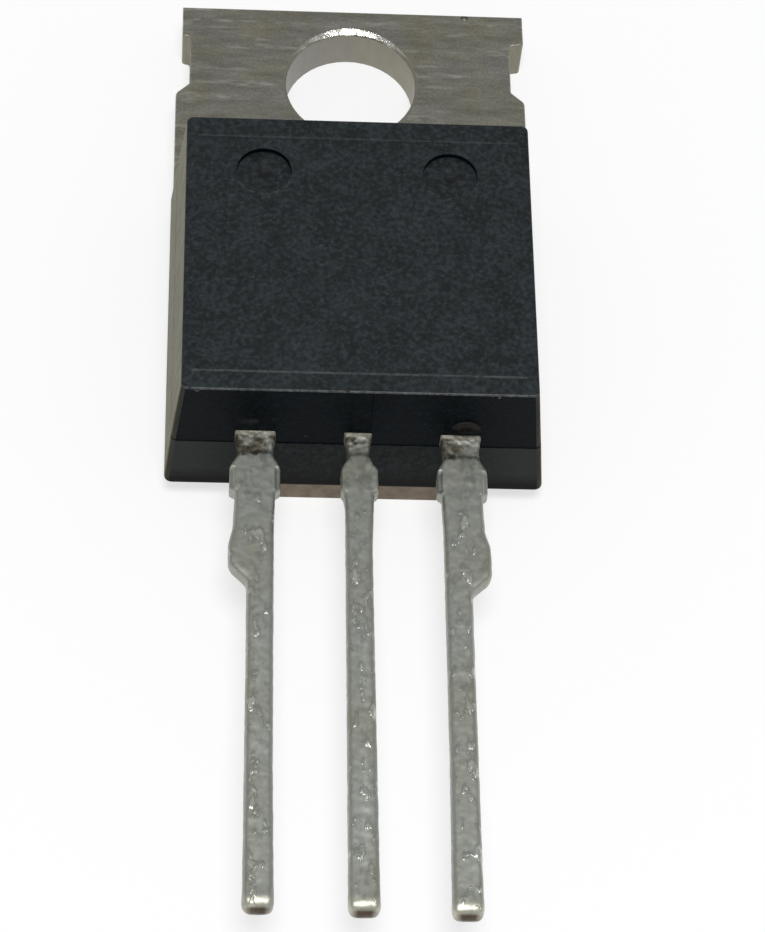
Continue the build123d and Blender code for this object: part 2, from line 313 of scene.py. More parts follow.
# %% [markdown]
# The part lies on a plain white table under one large soft lamp.  The lamp hangs over the lead end,
# so it catches the rounded ends of the leads and the far rim of the hole, and the flat top faces
# mirror the dim upper part of the room instead.  The room is a plain gradient: pale at the horizon,
# where it meets the table, and grey overhead.

# %% Table, room and lamp
table_size = 3.0
table_gap = 0.01 * MM
table_white = 0.36
table_lift = 0.66
room_overhead = (0.30, 0.305, 0.31)
room_horizon = (0.95, 0.95, 0.95)
room_levels = (0.05, 0.60)
lamp_height = 0.32
lamp_lean = radians(14)
lamp_shift = 0.012
lamp_size = 0.13
lamp_power = 0.65

bpy.ops.mesh.primitive_plane_add(size=table_size, location=(0, 0, -table_gap))
table = start_piece("table_top")
table_paint = Recipe("white_table")
table_paint.set(
    Base_Color=(table_white, table_white, table_white, 1), Roughness=0.9, Specular_IOR_Level=0.0
)
glow = table_paint.nodes.new("ShaderNodeEmission")
seen = table_paint.nodes.new("ShaderNodeLightPath")
seen_directly = table_paint.math("MAXIMUM", seen.outputs["Is Camera Ray"], seen.outputs["Is Glossy Ray"])
seen_directly = table_paint.math("MAXIMUM", seen_directly, seen.outputs["Is Transmission Ray"])
table_paint.links.new(table_paint.times(seen_directly, table_lift), glow.inputs["Strength"])
both = table_paint.nodes.new("ShaderNodeAddShader")
table_paint.links.new(table_paint.shader.outputs["BSDF"], both.inputs[0])
table_paint.links.new(glow.outputs["Emission"], both.inputs[1])
table_paint.links.new(both.outputs["Shader"], table_paint.nodes["Material Output"].inputs["Surface"])
table.data.materials.append(table_paint.material)

room = bpy.data.worlds.new("plain_room")
room.use_nodes = True
bpy.context.scene.world = room
room_nodes, room_links = room.node_tree.nodes, room.node_tree.links
direction = room_nodes.new("ShaderNodeTexCoord")
split = room_nodes.new("ShaderNodeSeparateXYZ")
shade = room_nodes.new("ShaderNodeValToRGB")
shade.color_ramp.elements[0].position = room_levels[0]
shade.color_ramp.elements[0].color = (*room_horizon, 1)
shade.color_ramp.elements[1].position = room_levels[1]
shade.color_ramp.elements[1].color = (*room_overhead, 1)
room_links.new(direction.outputs["Generated"], split.inputs["Vector"])
room_links.new(split.outputs["Z"], shade.inputs["Fac"])
room_links.new(shade.outputs["Color"], room_nodes["Background"].inputs["Color"])

bpy.ops.object.light_add(
    type="AREA",
    location=(0, -sin(lamp_lean) * lamp_height - lamp_shift, cos(lamp_lean) * lamp_height),
    rotation=(-lamp_lean, 0, 0),
)
lamp = bpy.context.active_object
lamp.name = "soft_lamp"
lamp.data.shape = "DISK"
lamp.data.size = lamp_size
lamp.data.energy = lamp_power

bpy.context.scene.view_settings.view_transform = "Standard"
print("stage set")

# %% [markdown]
# The tab is copper strip with a dull tin-nickel plate.  Rolling left fine streaks across it, from side
# to side, and handling left olive and grey patches.  The streaks are a noise that is stretched a
# long way along X; where it peaks the plate is lighter and a little shinier.

# %% Materials of the header
# y of the painted highlight line on the tab
highlight_line_y = -1.68


def plated_sheet():
    recipe = Recipe("dull_plated_sheet")
    patches = recipe.noise(0.75, detail=4)
    fine = recipe.noise(13)
    smear = recipe.noise(1.0, detail=5, stretch=(0.9, 3.0, 3), roughness=0.6)
    rows = recipe.noise(1.0, stretch=(0.3, 3.0, 1))
    dashes = recipe.noise(1.0, detail=4, stretch=(1.8, 6, 3), roughness=0.55)
    colour = recipe.ramp(
        patches,
        (0.36, (0.275, 0.260, 0.200)),
        (0.50, (0.272, 0.264, 0.218)),
        (0.64, (0.275, 0.267, 0.240)),
    )
    colour = recipe.mix(1.0, colour, recipe.ramp(fine, (0.3, 0.84), (0.7, 1.12)), "MULTIPLY")
    colour = recipe.mix(1.0, colour, recipe.ramp(smear, (0.35, 0.86), (0.65, 1.16)), "MULTIPLY")
    row = recipe.ramp(rows, (0.50, 0.0), (0.62, 1.0))
    dash = recipe.ramp(dashes, (0.45, 0.0), (0.64, 1.0))
    light = recipe.times(recipe.times(row, dash), 0.75)
    # a painted highlight: a light line across the tab in front of the moulding
    painted_line = recipe.span(recipe.distance(recipe.axis("Y"), highlight_line_y), 0.03, 0.07, 1.0, 0.0)
    painted_line = recipe.times(painted_line, recipe.ramp(smear, (0.4, 0.1), (0.6, 0.7)))
    colour = recipe.mix(recipe.math("MAXIMUM", light, painted_line), colour, (0.54, 0.53, 0.47))
    recipe.put("Base Color", colour)
    recipe.set(Metallic=0.9)
    recipe.put("Roughness", recipe.span(dashes, 0.3, 0.75, 0.54, 0.42))
    relief = recipe.bump(dashes, 0.006)
    recipe.put("Normal", recipe.bump(fine, 0.005, below=relief))
    return recipe.material


def burnished_rim():
    recipe = Recipe("burnished_rim")
    wear = recipe.noise(4.5, detail=4, roughness=0.7)
    far_side = recipe.span(recipe.axis("Y"), 1.0, 1.5)
    worn = recipe.times(far_side, recipe.span(wear, 0.40, 0.55))
    recipe.put("Base Color", recipe.mix(worn, (0.30, 0.29, 0.24), (0.85, 0.84, 0.78)))
    recipe.set(Metallic=1.0)
    recipe.put("Roughness", recipe.span(worn, 0.0, 1.0, 0.50, 0.15))
    recipe.put("Normal", recipe.bump(wear, 0.022))
    return recipe.material


def punched_wall():
    recipe = Recipe("punched_wall")
    drag = recipe.noise(4, stretch=(1, 1, 0.3))
    colour = recipe.ramp(drag, (0.3, (0.30, 0.285, 0.225)), (0.7, (0.33, 0.312, 0.250)))
    warm = recipe.span(recipe.axis("X"), -1.2, 1.6)
    colour = recipe.mix(warm, recipe.mix(1.0, colour, (0.92, 0.94, 1.05), "MULTIPLY"), colour)
    recipe.put("Base Color", colour)
    recipe.set(Metallic=0.85, Roughness=0.46)
    recipe.put("Normal", recipe.bump(drag, 0.003))
    return recipe.material


def bare_copper():
    recipe = Recipe("dull_cut_copper")
    stain = recipe.noise(3, detail=4)
    colour = recipe.ramp(stain, (0.3, (0.15, 0.115, 0.080)), (0.7, (0.24, 0.190, 0.140)))
    recipe.put("Base Color", colour)
    recipe.set(Metallic=0.6, Roughness=0.55)
    recipe.put("Normal", recipe.bump(stain, 0.01))
    return recipe.material


def sheared_notch():
    recipe = Recipe("sheared_notch")
    shear = recipe.noise(6, stretch=(1, 1, 0.4))
    colour = recipe.ramp(shear, (0.3, (0.235, 0.228, 0.172)), (0.7, (0.295, 0.285, 0.225)))
    recipe.put("Base Color", colour)
    recipe.set(Metallic=0.9, Roughness=0.5)
    recipe.put("Normal", recipe.bump(shear, 0.006))
    return recipe.material


plated = plated_sheet()
punched = punched_wall()
copper = bare_copper()
sheared = sheared_notch()
burnished = burnished_rim()
header_finishes = (plated, punched, copper, sheared, burnished)
print("header materials:", ", ".join(material.name for material in header_finishes))

# %% [markdown]
# The header itself is a stamping, and its CAD shape already has the rolled edges and the notches.  A
# copy of it gets what use adds, cut with two small tools: a sphere leaves a nick in the end edge, and
# a flat cone leaves a narrow chamfer round the hole, which is worn bright at its far side.  Each face
# then gets its finish by where it is and which way it looks: the wall of the punched hole, the worn
# rim, the sheared walls of the notches and the cut end at the leads differ from the rest.

# %% Header
header_low, header_high = box_mm("collector_header")
sheet_thickness = 1.30
cut_end_y = header_low.y + 0.02
notch_x = 4.50
notch_reach_y = (-0.9, 1.8)
nick_radius = 0.12
nick_shape = (0.9, 0.8, 1.2)
nick_place = (3.34, header_high.y - 0.10, sheet_thickness)
rim_cone_radii = (1.83, 2.08)
rim_cone_height = 0.10
rim_cone_z = sheet_thickness - 0.03
rim_cone_shape = (0.93, 1.0, 1.0)
hole_wall_reach = 1.90
hole_rim_reach = 2.04
upright_below = 0.45  # a wall's normal has less Z than this

header = copy_in_mm("collector_header", "header_plate")
for material in header_finishes:
    header.data.materials.append(material)
bpy.ops.mesh.primitive_ico_sphere_add(subdivisions=2, radius=nick_radius, location=nick_place)
nick = start_piece("nick_tool")
nick.scale = nick_shape
combine(header, nick)
bpy.ops.mesh.primitive_cone_add(
    vertices=96,
    radius1=rim_cone_radii[0],
    radius2=rim_cone_radii[1],
    depth=rim_cone_height,
    location=(0, 0, rim_cone_z),
)
rim_tool = start_piece("hole_rim_tool")
rim_tool.scale = rim_cone_shape
combine(header, rim_tool)
for face in header.data.polygons:
    middle = face.center
    from_hole = middle.xy.length
    upright = abs(face.normal.z) < upright_below
    if upright and from_hole < hole_wall_reach:
        finish = punched
    elif from_hole < hole_rim_reach and 0.3 < face.normal.z < 0.99:
        finish = burnished
    elif face.normal.y < -0.9 and middle.y < cut_end_y:
        finish = copper
    elif upright and abs(middle.x) > notch_x and notch_reach_y[0] < middle.y < notch_reach_y[1]:
        finish = sheared
    else:
        continue
    face.material_index = header_finishes.index(finish)
set_in_frame(header, "collector_header", angle=15)

# %% [markdown]
# The leads are cut from thin strip and dipped in tin.  The tin is grey, with scattered lumps that catch
# the lamp and are painted lighter as glints, and a painted highlight along the crown; at the very end
# of the lead the cut shows in the middle of the tin.  The first 0.6 mm outside the moulding was never
# dipped, so it keeps a rougher, darker skin, and the tin creeps up to it with a ragged edge.  The three
# leads share one recipe, and each gives it its own places.

# %% Materials of the leads
dip_line_y = -13.36
root_top_y = -12.74
lumps_start_y = (-14.2, -15.2)
crown_start_y = (-18.0, -20.0)
bare_core_z = (2.20, 2.36)
crown_offset = 0.08


def dipped_tin(name, middle_x, tongue_x, tip_x, tip_y, stain_shift):
    """Tin for the lead whose root is at middle_x, where the tin creeps highest at tongue_x."""
    recipe = Recipe(name)
    x, y, z = (recipe.axis(letter) for letter in "XYZ")
    across = recipe.distance(x, middle_x + crown_offset)
    across_tip = recipe.distance(x, tip_x)
    # the tin: grey, a little olive in places, with scattered lumps that are painted lighter as glints
    drift = recipe.noise(0.8, stretch=(1.5, 0.5, 1))
    dull = recipe.noise(9, detail=4)
    tin = recipe.ramp(drift, (0.3, (0.345, 0.355, 0.295)), (0.7, (0.370, 0.382, 0.355)))
    tin = recipe.mix(1.0, tin, recipe.ramp(dull, (0.3, 0.92), (0.7, 1.07)), "MULTIPLY")
    spots = recipe.noise(3.0, stretch=(1.3, 0.6, 1))
    near_ridge = recipe.span(across, 0.05, 0.35, 0.05, -0.03)
    raised = recipe.math("ADD", spots, near_ridge)
    bright = recipe.times(recipe.span(raised, 0.595, 0.71), recipe.span(y, *lumps_start_y))
    tin = recipe.mix(recipe.times(bright, 0.70), tin, (0.80, 0.81, 0.73))
    # a painted highlight along the crown of the lead
    crown = recipe.times(recipe.span(across, 0.02, 0.16, 1.0, 0.0), recipe.span(drift, 0.42, 0.58))
    crown = recipe.times(crown, recipe.span(y, *crown_start_y))
    tin = recipe.mix(recipe.times(crown, 0.30), tin, (0.62, 0.63, 0.57))
    # the blunt nose is smoother, and a yellowish highlight is painted on it
    nose_smooth_and_highlight = recipe.span(y, tip_y + 0.45, tip_y + 0.25)
    nose_smooth_and_highlight = recipe.times(nose_smooth_and_highlight, recipe.span(spots, 0.35, 0.55))
    tin = recipe.mix(recipe.times(nose_smooth_and_highlight, 0.6), tin, (0.62, 0.59, 0.48))
    # the cut end: bare in the middle
    cut = recipe.span(y, tip_y + 0.10, tip_y + 0.05)
    cut = recipe.times(cut, recipe.span(across_tip, 0.16, 0.36, 1.0, 0.0))
    cut = recipe.times(cut, recipe.span(z, *bare_core_z))
    tin = recipe.mix(recipe.times(cut, 0.92), tin, (0.060, 0.034, 0.022))
    # the root: stained strip, with a bright line of flash at the wall
    stain = recipe.noise(2.6, detail=5, roughness=0.6, distortion=0.5)
    to_right = recipe.math("SUBTRACT", x, middle_x)
    tilt = recipe.span(to_right, -0.35, 0.35, stain_shift - 0.05, stain_shift + 0.05)
    stain = recipe.math("ADD", stain, tilt)
    root = recipe.ramp(
        stain,
        (0.36, (0.055, 0.048, 0.036)),
        (0.46, (0.16, 0.148, 0.110)),
        (0.54, (0.36, 0.355, 0.30)),
        (0.62, (0.74, 0.74, 0.68)),
    )
    flash = recipe.math("ADD", y, recipe.span(dull, 0.3, 0.7, -0.03, 0.03))
    flash = recipe.span(flash, root_top_y - 0.09, root_top_y - 0.05)
    root = recipe.mix(recipe.times(flash, 0.85), root, (0.56, 0.54, 0.44))
    # the ragged edge of the dip, with a tongue of tin
    wander = recipe.span(recipe.noise(4, detail=4), 0.3, 0.7, -0.18, 0.18)
    creep = recipe.span(recipe.distance(x, tongue_x), 0.08, 0.42, 0.42, 0.0)
    ragged = recipe.math("SUBTRACT", recipe.math("ADD", y, wander), creep)
    dipped = recipe.span(ragged, dip_line_y - 0.04, dip_line_y + 0.04, 1.0, 0.0)
    recipe.put("Base Color", recipe.mix(dipped, root, tin))
    recipe.set(Metallic=0.9)
    smooth_tin = recipe.span(raised, 0.5, 0.66, 0.50, 0.30)
    smooth_tin = recipe.mix(nose_smooth_and_highlight, smooth_tin, (0.42, 0.42, 0.42))
    recipe.put("Roughness", recipe.mix(dipped, recipe.span(stain, 0.3, 0.7, 0.6, 0.4), smooth_tin))
    recipe.put("Normal", recipe.bump(bright, 0.017, below=recipe.bump(spots, 0.004)))
    return recipe.material


tin_skins = {
    "base_lead": dipped_tin(
        "tin_left", middle_x=-2.69, tongue_x=-2.14, tip_x=-2.53, tip_y=-26.26, stain_shift=-0.05
    ),
    "collector_lead": dipped_tin(
        "tin_middle", middle_x=0.02, tongue_x=0.05, tip_x=0.05, tip_y=-26.31, stain_shift=0.03
    ),
    "emitter_lead": dipped_tin(
        "tin_right", middle_x=2.73, tongue_x=2.95, tip_x=2.57, tip_y=-26.37, stain_shift=-0.01
    ),
}
print("lead materials:", ", ".join(material.name for material in tin_skins.values()))

# %% [markdown]
# Molten tin draws itself round over the edges and freezes with shallow lumps, so flat faces and sharp
# edges give the game away at once.  Each lead is a merged copy of its CAD node.  Remesh gives it even
# cells, and Smooth draws its edges round: a little everywhere, and then more where vertex groups say
# so, along the shank, at the edge of the dip and at the tip.  Smoothing shrinks a shape, so the lead is
# then swollen a little, and its tip is brought back to its old length.  Last, Displace raises the lumps
# in the tin and the pits in the bare root from cloud textures.

# %% Leads
cell_size = 0.034
shank_y = (-15.6, -14.6)
dip_edge_reach = 0.24
tip_reach = (0.25, 0.6)
edge_rounds, shank_rounds, dip_rounds, tip_rounds = 4, 40, 14, 18
tip_swell = 0.012
lead_swell = 0.015
dip_fade = 0.3
bare_fade = 0.1
swell_height = 0.008
lump_height = 0.012
pit_height = 0.02


def cloud(name, size, contrast=1.0, brightness=1.0):
    """A cloud texture with blobs of about `size` millimetres."""
    texture = bpy.data.textures.new(name, "CLOUDS")
    texture.noise_scale = size
    texture.noise_depth = 1
    texture.contrast = contrast
    texture.intensity = brightness
    return texture


def weight_along_y(piece, name, full_y, none_y, symmetric=False):
    """A vertex group that fades from 1 at full_y to 0 at none_y.

    Beyond full_y the weight stays 1, or fades again in the same way if the group is symmetric.
    """
    group = piece.vertex_groups.new(name=name)
    for vertex in piece.data.vertices:
        weight = (vertex.co.y - none_y) / (full_y - none_y)
        if symmetric:
            weight = min(weight, 2.0 - weight)
        group.add([vertex.index], min(1.0, max(0.0, weight)), "REPLACE")
    return name


def draw_round(piece, rounds, group=""):
    """Smooth a piece, everywhere or where a vertex group says so."""
    modifier = piece.modifiers.new("draw_round", "SMOOTH")
    modifier.factor = 0.5
    modifier.iterations = rounds
    modifier.vertex_group = group
    apply_modifier(piece, modifier)


def displace(piece, texture, height, middle, group, direction="NORMAL"):
    """Move a vertex group outwards, or along an axis, by a texture or by a fixed height."""
    modifier = piece.modifiers.new("displace", "DISPLACE")
    modifier.texture = texture
    modifier.texture_coords = "LOCAL"
    modifier.strength = height
    modifier.mid_level = middle
    modifier.direction = direction
    modifier.vertex_group = group
    apply_modifier(piece, modifier)


def end_y(piece):
    """Where the piece ends on the side of the lead tips."""
    return min(vertex.co.y for vertex in piece.data.vertices)


swell = cloud("tin_swell", 1.1)
small_lumps = cloud("tin_lumps", 0.25, contrast=1.35, brightness=0.0)
pits = cloud("root_pits", 0.11)
for node, tin_skin in tin_skins.items():
    lead = copy_in_mm(node, node.replace("_lead", "_pin"))
    cut_y = end_y(lead)
    remesh = lead.modifiers.new("even_cells", "REMESH")
    remesh.mode = "VOXEL"
    remesh.voxel_size = cell_size
    apply_modifier(lead, remesh)
    draw_round(lead, edge_rounds)
    draw_round(lead, shank_rounds, weight_along_y(lead, "shank", *shank_y))
    dip_edge = weight_along_y(lead, "dip_edge", dip_line_y, dip_line_y - dip_edge_reach, symmetric=True)
    draw_round(lead, dip_rounds, dip_edge)
    tip = weight_along_y(lead, "tip", cut_y + tip_reach[0], cut_y + tip_reach[1])
    draw_round(lead, tip_rounds, tip)
    displace(lead, None, tip_swell, 0.0, tip)
    displace(lead, None, lead_swell, 0.0, weight_along_y(lead, "whole", cut_y - 1, cut_y - 2))
    displace(lead, None, cut_y - end_y(lead), 0.0, tip, direction="Y")
    dipped = weight_along_y(lead, "dipped", dip_line_y - dip_fade, dip_line_y)
    displace(lead, swell, swell_height, 0.30, dipped)
    displace(lead, small_lumps, lump_height, 0.0, dipped)
    bare = weight_along_y(lead, "bare", dip_line_y, dip_line_y - bare_fade)
    displace(lead, pits, pit_height, 0.5, bare)
    lead.data.materials.append(tin_skin)
    set_in_frame(lead, node, angle=60)

# %% [markdown]
# The package is epoxy resin, pressed round the header and the leads in a hot mould.  The resin is
# filled with ground silica, which makes it matt, faintly grey and speckled, and where it breaks the
# fracture is lighter.  The walls came from a smoother part of the mould than the marked face did.
# One recipe makes the resin, and a `dress` function adds what belongs to one wall alone.

# %% Materials of the moulding
insert_outline = (4.37, -11.93, -4.30)  # half width, y of the lead end, y of the tab end
pin_marks = ((-2.55, -5.45), (2.48, -5.46))
pin_mark_radius = 0.745
flash_smear_place = (-2.85, 3.03)
blister_foot_z = 2.85
# middle and radii of the painted highlight arc on the blister
blister_highlight_middle = (2.86, 2.72)
blister_highlight_radii = (0.42, 0.52)


def epoxy(name, base, light, roughness, gloss=0.4, specks=0.5, dress=None):
    recipe = Recipe(name)
    mottle = recipe.noise(1.3, detail=4)
    grain = recipe.noise(8, detail=4, roughness=0.6)
    spots = recipe.noise(5.5, detail=5, roughness=0.7)
    colour = recipe.mix(recipe.span(mottle, 0.35, 0.65), base, light)
    colour = recipe.mix(1.0, colour, recipe.ramp(grain, (0.32, 0.15), (0.50, 1.0)), "MULTIPLY")
    filler = recipe.ramp(grain, (0.50, 0.0), (0.72, 1.0))
    colour = recipe.mix(recipe.times(filler, 0.8), colour, tuple(2.4 * level for level in light))
    speck = recipe.ramp(spots, (0.66, 0.0), (0.72, 1.0))
    colour = recipe.mix(recipe.times(speck, specks), colour, (0.09, 0.095, 0.092))
    if dress:
        colour = dress(recipe, colour, spots)
    recipe.put("Base Color", colour)
    recipe.put("Roughness", recipe.span(grain, 0.3, 0.7, roughness - 0.06, roughness + 0.06))
    recipe.set(Specular_IOR_Level=gloss)
    relief = recipe.bump(grain, 0.012)
    recipe.put("Normal", recipe.bump(mottle, 0.02, below=relief))
    return recipe.material


def worn_pin_marks(recipe, colour, spots):
    """Ejector marks with a dark middle and a scuffed edge, and dust along the insert's line."""
    x, y = recipe.axis("X"), recipe.axis("Y")
    for mark_x, mark_y in pin_marks:
        aside = recipe.math("POWER", recipe.math("SUBTRACT", x, mark_x), 2.0)
        along = recipe.math("SUBTRACT", y, mark_y)
        radius = recipe.math("SQRT", recipe.math("ADD", aside, recipe.times(along, along)))
        # the edge is scuffed on the side of the leads
        ring = recipe.span(recipe.distance(radius, pin_mark_radius), 0.03, 0.09, 1.0, 0.0)
        ring = recipe.times(ring, recipe.span(along, -0.1, -0.5))
        ring = recipe.times(ring, recipe.ramp(spots, (0.50, 0.0), (0.62, 1.0)))
        colour = recipe.mix(recipe.times(ring, 0.6), colour, (0.075, 0.08, 0.08))
        middle = recipe.span(radius, 0.11, 0.20, 0.9, 0.0)
        colour = recipe.mix(middle, colour, (0.0005, 0.0008, 0.001))
    # the raised line round the insert catches dust, most of all on the side of the leads
    half_width, near_y, far_y = insert_outline
    for line_y, strength in ((near_y, 0.7), (far_y, 0.2)):
        dust = recipe.times(recipe.span(recipe.distance(y, line_y), 0.02, 0.045, 1.0, 0.0), strength)
        dust = recipe.times(dust, recipe.ramp(spots, (0.36, 0.15), (0.56, 1.0)))
        ends = recipe.span(recipe.math("ABSOLUTE", x), half_width - 0.03, half_width + 0.03, 1.0, 0.0)
        colour = recipe.mix(recipe.times(dust, ends), colour, (0.070, 0.080, 0.082))
    return colour


def smeared(recipe, colour, spots):
    """A thin smear of flash above the base lead, and a greyer wall towards its ends."""
    x, z = recipe.axis("X"), recipe.axis("Z")
    smear_x, smear_z = flash_smear_place
    patch = recipe.times(
        recipe.span(recipe.distance(x, smear_x), 0.2, 0.4, 1.0, 0.0),
        recipe.span(recipe.distance(z, smear_z), 0.04, 0.14, 1.0, 0.0),
    )
    patch = recipe.times(patch, recipe.ramp(spots, (0.42, 0.0), (0.6, 1.0)))
    corner = recipe.span(recipe.math("ABSOLUTE", x), 2.6, 4.4, 0.0, 0.35)
    colour = recipe.mix(corner, colour, (0.012, 0.0135, 0.0145))
    return recipe.mix(recipe.times(patch, 0.5), colour, (0.045, 0.042, 0.042))


def foot_shade(recipe, colour, spots):
    """The lower end wall is warmer and darker towards its foot, greyer towards the corners."""
    x, z = recipe.axis("X"), recipe.axis("Z")
    corner = recipe.span(recipe.math("ABSOLUTE", x), 2.6, 4.4, 0.0, 0.8)
    colour = recipe.mix(corner, colour, (0.032, 0.034, 0.034))
    return recipe.mix(recipe.span(z, 0.80, 1.25, 0.95, 0.0), colour, (0.0025, 0.0015, 0.0020))


def blister_shadow_and_highlight(recipe, colour, spots):
    """Painted shadow at the blister's foot, and a painted highlight in an arc near its upper edge."""
    x, z = recipe.axis("X"), recipe.axis("Z")
    aside = recipe.math("DIVIDE", recipe.math("SUBTRACT", x, blister_highlight_middle[0]), blister_highlight_radii[0])
    above = recipe.math("DIVIDE", recipe.math("SUBTRACT", z, blister_highlight_middle[1]), blister_highlight_radii[1])
    outward = recipe.math("ADD", recipe.math("POWER", aside, 2.0), recipe.math("POWER", above, 2.0))
    # painted highlight: a light arc near the blister's upper edge
    arc = recipe.times(recipe.span(outward, 0.40, 0.62), recipe.span(z, 2.92, 3.02))
    arc = recipe.times(arc, recipe.ramp(spots, (0.34, 0.5), (0.54, 1.0)))
    # painted shadow: near black towards the blister's foot
    foot = recipe.span(z, blister_foot_z, 3.00, 1.0, 0.3)
    colour = recipe.mix(foot, colour, (0.0006, 0.0006, 0.0005))
    return recipe.mix(recipe.times(arc, 0.9), colour, (0.024, 0.0215, 0.020))


def polished_wall():
    """The long side walls: smooth, with upright streaks from sliding out of the mould.

    Seen almost edge-on they shine like a mirror.  Metallic with a nearly black colour keeps them as
    dark as the resin from the front, and the tint colours only that shine.
    """
    recipe = Recipe("epoxy_side_wall")
    streaks = recipe.noise(1.0, detail=5, stretch=(2, 7, 0.7), roughness=0.7)
    grain = recipe.noise(13)
    colour = recipe.ramp(streaks, (0.3, (0.026, 0.028, 0.027)), (0.7, (0.054, 0.053, 0.048)))
    recipe.put("Base Color", colour)
    recipe.put("Roughness", recipe.span(streaks, 0.3, 0.7, 0.36, 0.26))
    recipe.set(Metallic=1.0, Specular_Tint=(0.65, 0.633, 0.526, 1))
    recipe.put("Normal", recipe.bump(streaks, 0.016, below=recipe.bump(grain, 0.004)))
    return recipe.material


marked_face = epoxy(
    "epoxy_marked_face", (0.0035, 0.0072, 0.0088), (0.011, 0.0162, 0.0187), 0.55, 0.33, dress=worn_pin_marks
)
side_wall = polished_wall()
# the upper end wall's near-black colour is painted shade, darker than the marked face
upper_end = epoxy(
    "epoxy_upper_end", (0.0008, 0.0027, 0.0046), (0.002, 0.0045, 0.0065), 0.45, 0.05, dress=smeared
)
lower_end = epoxy(
    "epoxy_lower_end", (0.006, 0.0085, 0.0085), (0.010, 0.013, 0.013), 0.50, 0.13, dress=foot_shade
)
# the near rim of the marked face: its lighter colour is a painted highlight, and its gloss is higher
glossy_rim_highlight = epoxy("epoxy_rim_painted_highlight", (0.02, 0.023, 0.024), (0.05, 0.055, 0.056), 0.45, 0.5)
blister_skin = epoxy(
    "epoxy_blister", (0.002, 0.0022, 0.0015), (0.004, 0.0042, 0.003), 0.45, 0.06, dress=blister_shadow_and_highlight
)
broken = epoxy("epoxy_fracture", (0.03, 0.033, 0.033), (0.07, 0.072, 0.07), 0.7, specks=0.8)
body_finishes = (marked_face, side_wall, upper_end, lower_end, broken, glossy_rim_highlight, blister_skin)
print("moulding materials:", ", ".join(material.name for material in body_finishes))

# %% [markdown]
# Both mould halves have draft, so the walls lean in from the parting line.  The moulding is grown
# from one rectangle with rounded corners: it is extruded upwards ring by ring, and each ring is
# resized to the mould at that height.  A few close rings make each rounded rim.

# %% Moulding: walls
body_low, body_high = box_mm("moulded_body")
parting_z = 2.17
line_height = 0.008
foot, below_parting, above_parting, top = (
    # height, half width, y of the lead end, y of the tab end
    (body_low.z, 5.07, -13.13, -3.37),
    (parting_z, 4.901, -12.76, -3.52),
    (parting_z, 4.899, -12.74, -3.54),
    (body_high.z - line_height, 4.65, -12.50, -3.68),
)
rim_round = 0.05
foot_round = 0.12
corner_round = 0.18
ring_steps = 4


def mould_outline(z, lower, upper, inset=0.0):
    """(half width, lead end, tab end) of the mould between two levels at height z."""
    share = (z - lower[0]) / (upper[0] - lower[0])
    half_width, near_y, far_y = (a + (b - a) * share for a, b in zip(lower[1:], upper[1:]))
    return half_width - inset, near_y + inset, far_y - inset


def selected_box(piece):
    """Lowest and highest corner of what is selected."""
    mesh = bmesh.from_edit_mesh(piece.data)
    chosen = [piece.matrix_world @ vertex.co for vertex in mesh.verts if vertex.select]
    low = Vector([min(point[i] for point in chosen) for i in range(3)])
    high = Vector([max(point[i] for point in chosen) for i in range(3)])
    return low, high


def fit_ring(piece, z, outline):
    """Move and resize what is selected to an outline at height z."""
    low, high = selected_box(piece)
    half_width, near_y, far_y = outline
    middle = (low + high) / 2
    goal = Vector((0, (near_y + far_y) / 2, z))
    bpy.ops.transform.translate(value=goal - middle)
    scale = (2 * half_width / (high.x - low.x), (far_y - near_y) / (high.y - low.y), 1)
    bpy.ops.transform.resize(value=scale, center_override=goal)


rings = []
for step in range(1, ring_steps + 1):
    turn = pi / 2 * step / ring_steps
    z = body_low.z + foot_round * (1 - cos(turn))
    rings.append((z, mould_outline(z, foot, below_parting, foot_round * (1 - sin(turn)))))
rings.append((parting_z, mould_outline(parting_z, foot, below_parting)))
rings.append((parting_z, mould_outline(parting_z, above_parting, top)))
for step in range(ring_steps + 1):
    turn = pi / 2 * step / ring_steps
    z = top[0] - rim_round * (1 - sin(turn))
    rings.append((z, mould_outline(z, above_parting, top, rim_round * (1 - cos(turn)))))

bpy.ops.mesh.primitive_plane_add(size=2)
body = start_piece("moulding")
bpy.ops.object.mode_set(mode="EDIT")
bpy.ops.mesh.select_all(action="SELECT")
fit_ring(body, body_low.z, mould_outline(body_low.z, foot, below_parting, foot_round))
bpy.ops.mesh.bevel(offset=corner_round, segments=5, affect="VERTICES")
bpy.ops.mesh.select_all(action="SELECT")
for z, outline in rings:
    bpy.ops.mesh.extrude_region_move(TRANSFORM_OT_translate={"value": (0, 0, 0.01)})
    fit_ring(body, z, outline)
print("moulding has", len(rings), "rings")

# %% [markdown]
# The plate of the mould that presses the marked face is an insert, and resin creeps into the gap
# round it, which leaves a fine raised line just inside the rim.  Two ejector pins push the package
# out and leave round marks with a dimple.

# %% Moulding: marked face
rim_width = 0.05
line_width = 0.016
pin_mark_depth = 0.17
flare_start = 0.012
flare_height = 0.02
flare_ratio = 1.03
dimple_radius = 0.45
dimple_depth = 0.025

bpy.ops.mesh.inset(thickness=rim_width, depth=0)
fit_ring(body, top[0], insert_outline)
bpy.ops.mesh.inset(thickness=line_width, depth=line_height)
bpy.ops.mesh.inset(thickness=line_width, depth=-line_height)
bpy.ops.mesh.select_all(action="SELECT")
bpy.ops.mesh.normals_make_consistent(inside=False)
bpy.ops.object.mode_set(mode="OBJECT")
for material in body_finishes:
    body.data.materials.append(material)

